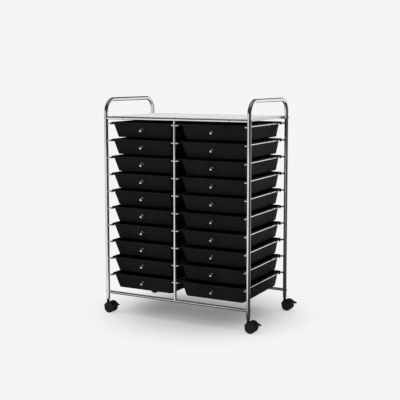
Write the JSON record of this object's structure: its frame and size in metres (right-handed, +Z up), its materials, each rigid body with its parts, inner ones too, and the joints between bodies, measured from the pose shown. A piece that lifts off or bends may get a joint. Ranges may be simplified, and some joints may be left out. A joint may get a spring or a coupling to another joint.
{
  "type": "rolling drawer tower",
  "caption": "Wheeled drawer tower: chrome tube frame with arched side handles, side-by-side columns of pull-out plastic drawers on rod runners, flat top shelf and braked swivel casters.",
  "frame": {"origin": "middle of the outer box, on the floor; the frame's own middle lies 22.5 mm to the left, because the casters trail to the right", "axes": "+X to the right as seen from the front, +Y to the rear, +Z up"},
  "size_m": [0.727, 0.423, 0.92],
  "materials": {
    "chrome_tube": "polished chrome plate on steel tube",
    "chrome_rod": "polished chrome plate on steel rod",
    "knob_chrome": "mirror chrome",
    "screw_steel": "plated steel screws",
    "drawer_plastic": "black moulded plastic, satin gloss",
    "shelf_board": "white laminated board, satin",
    "caster_plastic": "black nylon, satin",
    "wheel_plastic": "black wheel plastic, satin",
    "lever_plastic": "black nylon, satin"
  },
  "bodies": {
    "frame": {"side_tube_left": "chrome_tube", "side_tube_right": "chrome_tube", "cross_rails": "chrome_tube", "centre_posts": "chrome_tube", "top_shelf": "shelf_board", "runner_rods": "chrome_rod", "frame_screws": "screw_steel", "caster_sockets": "caster_plastic"},
    "caster_front_left": {"caster_hood_front_left": "caster_plastic"},
    "wheels_front_left": {"caster_wheels_front_left": "wheel_plastic"},
    "lever_front_left": {"brake_lever_front_left": "lever_plastic"},
    "caster_front_right": {"caster_hood_front_right": "caster_plastic"},
    "wheels_front_right": {"caster_wheels_front_right": "wheel_plastic"},
    "lever_front_right": {"brake_lever_front_right": "lever_plastic"},
    "caster_rear_left": {"caster_hood_rear_left": "caster_plastic"},
    "wheels_rear_left": {"caster_wheels_rear_left": "wheel_plastic"},
    "lever_rear_left": {"brake_lever_rear_left": "lever_plastic"},
    "caster_rear_right": {"caster_hood_rear_right": "caster_plastic"},
    "wheels_rear_right": {"caster_wheels_rear_right": "wheel_plastic"},
    "lever_rear_right": {"brake_lever_rear_right": "lever_plastic"},
    "drawer_left_01": {"drawer_left_01": "drawer_plastic", "knob_left_01": "knob_chrome"},
    "drawer_left_02": {"drawer_left_02": "drawer_plastic", "knob_left_02": "knob_chrome"},
    "drawer_left_03": {"drawer_left_03": "drawer_plastic", "knob_left_03": "knob_chrome"},
    "drawer_left_04": {"drawer_left_04": "drawer_plastic", "knob_left_04": "knob_chrome"},
    "drawer_left_05": {"drawer_left_05": "drawer_plastic", "knob_left_05": "knob_chrome"},
    "drawer_left_06": {"drawer_left_06": "drawer_plastic", "knob_left_06": "knob_chrome"},
    "drawer_left_07": {"drawer_left_07": "drawer_plastic", "knob_left_07": "knob_chrome"},
    "drawer_left_08": {"drawer_left_08": "drawer_plastic", "knob_left_08": "knob_chrome"},
    "drawer_left_09": {"drawer_left_09": "drawer_plastic", "knob_left_09": "knob_chrome"},
    "drawer_left_10": {"drawer_left_10": "drawer_plastic", "knob_left_10": "knob_chrome"},
    "drawer_right_01": {"drawer_right_01": "drawer_plastic", "knob_right_01": "knob_chrome"},
    "drawer_right_02": {"drawer_right_02": "drawer_plastic", "knob_right_02": "knob_chrome"},
    "drawer_right_03": {"drawer_right_03": "drawer_plastic", "knob_right_03": "knob_chrome"},
    "drawer_right_04": {"drawer_right_04": "drawer_plastic", "knob_right_04": "knob_chrome"},
    "drawer_right_05": {"drawer_right_05": "drawer_plastic", "knob_right_05": "knob_chrome"},
    "drawer_right_06": {"drawer_right_06": "drawer_plastic", "knob_right_06": "knob_chrome"},
    "drawer_right_07": {"drawer_right_07": "drawer_plastic", "knob_right_07": "knob_chrome"},
    "drawer_right_08": {"drawer_right_08": "drawer_plastic", "knob_right_08": "knob_chrome"},
    "drawer_right_09": {"drawer_right_09": "drawer_plastic", "knob_right_09": "knob_chrome"},
    "drawer_right_10": {"drawer_right_10": "drawer_plastic", "knob_right_10": "knob_chrome"}
  },
  "joints": [
    {"name": "swivel_front_left", "type": "hinge", "parent": "frame", "child": "caster_front_left", "pos_m": [-0.35349, -0.191, 0.0565], "axis": [0, 0, 1], "continuous": true},
    {"name": "roll_front_left", "type": "hinge", "parent": "caster_front_left", "child": "wheels_front_left", "pos_m": [-0.33849, -0.191, 0.022], "axis": [0, 1, 0], "continuous": true},
    {"name": "brake_front_left", "type": "hinge", "parent": "caster_front_left", "child": "lever_front_left", "pos_m": [-0.32424, -0.191, 0.03396], "axis": [0, 1, 0], "range_deg": [0, 15]},
    {"name": "swivel_front_right", "type": "hinge", "parent": "frame", "child": "caster_front_right", "pos_m": [0.30851, -0.191, 0.0565], "axis": [0, 0, 1], "continuous": true},
    {"name": "roll_front_right", "type": "hinge", "parent": "caster_front_right", "child": "wheels_front_right", "pos_m": [0.32351, -0.191, 0.022], "axis": [0, 1, 0], "continuous": true},
    {"name": "brake_front_right", "type": "hinge", "parent": "caster_front_right", "child": "lever_front_right", "pos_m": [0.33776, -0.191, 0.03396], "axis": [0, 1, 0], "range_deg": [0, 15]},
    {"name": "swivel_rear_left", "type": "hinge", "parent": "frame", "child": "caster_rear_left", "pos_m": [-0.35349, 0.191, 0.0565], "axis": [0, 0, 1], "continuous": true},
    {"name": "roll_rear_left", "type": "hinge", "parent": "caster_rear_left", "child": "wheels_rear_left", "pos_m": [-0.33849, 0.191, 0.022], "axis": [0, 1, 0], "continuous": true},
    {"name": "brake_rear_left", "type": "hinge", "parent": "caster_rear_left", "child": "lever_rear_left", "pos_m": [-0.32424, 0.191, 0.03396], "axis": [0, 1, 0], "range_deg": [0, 15]},
    {"name": "swivel_rear_right", "type": "hinge", "parent": "frame", "child": "caster_rear_right", "pos_m": [0.30851, 0.191, 0.0565], "axis": [0, 0, 1], "continuous": true},
    {"name": "roll_rear_right", "type": "hinge", "parent": "caster_rear_right", "child": "wheels_rear_right", "pos_m": [0.32351, 0.191, 0.022], "axis": [0, 1, 0], "continuous": true},
    {"name": "brake_rear_right", "type": "hinge", "parent": "caster_rear_right", "child": "lever_rear_right", "pos_m": [0.33776, 0.191, 0.03396], "axis": [0, 1, 0], "range_deg": [0, 15]},
    {"name": "slide_left_01", "type": "slide", "parent": "frame", "child": "drawer_left_01", "axis": [0, -1, 0], "range_m": [0, 0.26]},
    {"name": "slide_left_02", "type": "slide", "parent": "frame", "child": "drawer_left_02", "axis": [0, -1, 0], "range_m": [0, 0.26]},
    {"name": "slide_left_03", "type": "slide", "parent": "frame", "child": "drawer_left_03", "axis": [0, -1, 0], "range_m": [0, 0.26]},
    {"name": "slide_left_04", "type": "slide", "parent": "frame", "child": "drawer_left_04", "axis": [0, -1, 0], "range_m": [0, 0.26]},
    {"name": "slide_left_05", "type": "slide", "parent": "frame", "child": "drawer_left_05", "axis": [0, -1, 0], "range_m": [0, 0.26]},
    {"name": "slide_left_06", "type": "slide", "parent": "frame", "child": "drawer_left_06", "axis": [0, -1, 0], "range_m": [0, 0.26]},
    {"name": "slide_left_07", "type": "slide", "parent": "frame", "child": "drawer_left_07", "axis": [0, -1, 0], "range_m": [0, 0.26]},
    {"name": "slide_left_08", "type": "slide", "parent": "frame", "child": "drawer_left_08", "axis": [0, -1, 0], "range_m": [0, 0.26]},
    {"name": "slide_left_09", "type": "slide", "parent": "frame", "child": "drawer_left_09", "axis": [0, -1, 0], "range_m": [0, 0.26]},
    {"name": "slide_left_10", "type": "slide", "parent": "frame", "child": "drawer_left_10", "axis": [0, -1, 0], "range_m": [0, 0.26]},
    {"name": "slide_right_01", "type": "slide", "parent": "frame", "child": "drawer_right_01", "axis": [0, -1, 0], "range_m": [0, 0.26]},
    {"name": "slide_right_02", "type": "slide", "parent": "frame", "child": "drawer_right_02", "axis": [0, -1, 0], "range_m": [0, 0.26]},
    {"name": "slide_right_03", "type": "slide", "parent": "frame", "child": "drawer_right_03", "axis": [0, -1, 0], "range_m": [0, 0.26]},
    {"name": "slide_right_04", "type": "slide", "parent": "frame", "child": "drawer_right_04", "axis": [0, -1, 0], "range_m": [0, 0.26]},
    {"name": "slide_right_05", "type": "slide", "parent": "frame", "child": "drawer_right_05", "axis": [0, -1, 0], "range_m": [0, 0.26]},
    {"name": "slide_right_06", "type": "slide", "parent": "frame", "child": "drawer_right_06", "axis": [0, -1, 0], "range_m": [0, 0.26]},
    {"name": "slide_right_07", "type": "slide", "parent": "frame", "child": "drawer_right_07", "axis": [0, -1, 0], "range_m": [0, 0.26]},
    {"name": "slide_right_08", "type": "slide", "parent": "frame", "child": "drawer_right_08", "axis": [0, -1, 0], "range_m": [0, 0.26]},
    {"name": "slide_right_09", "type": "slide", "parent": "frame", "child": "drawer_right_09", "axis": [0, -1, 0], "range_m": [0, 0.26]},
    {"name": "slide_right_10", "type": "slide", "parent": "frame", "child": "drawer_right_10", "axis": [0, -1, 0], "range_m": [0, 0.26]}
  ]
}
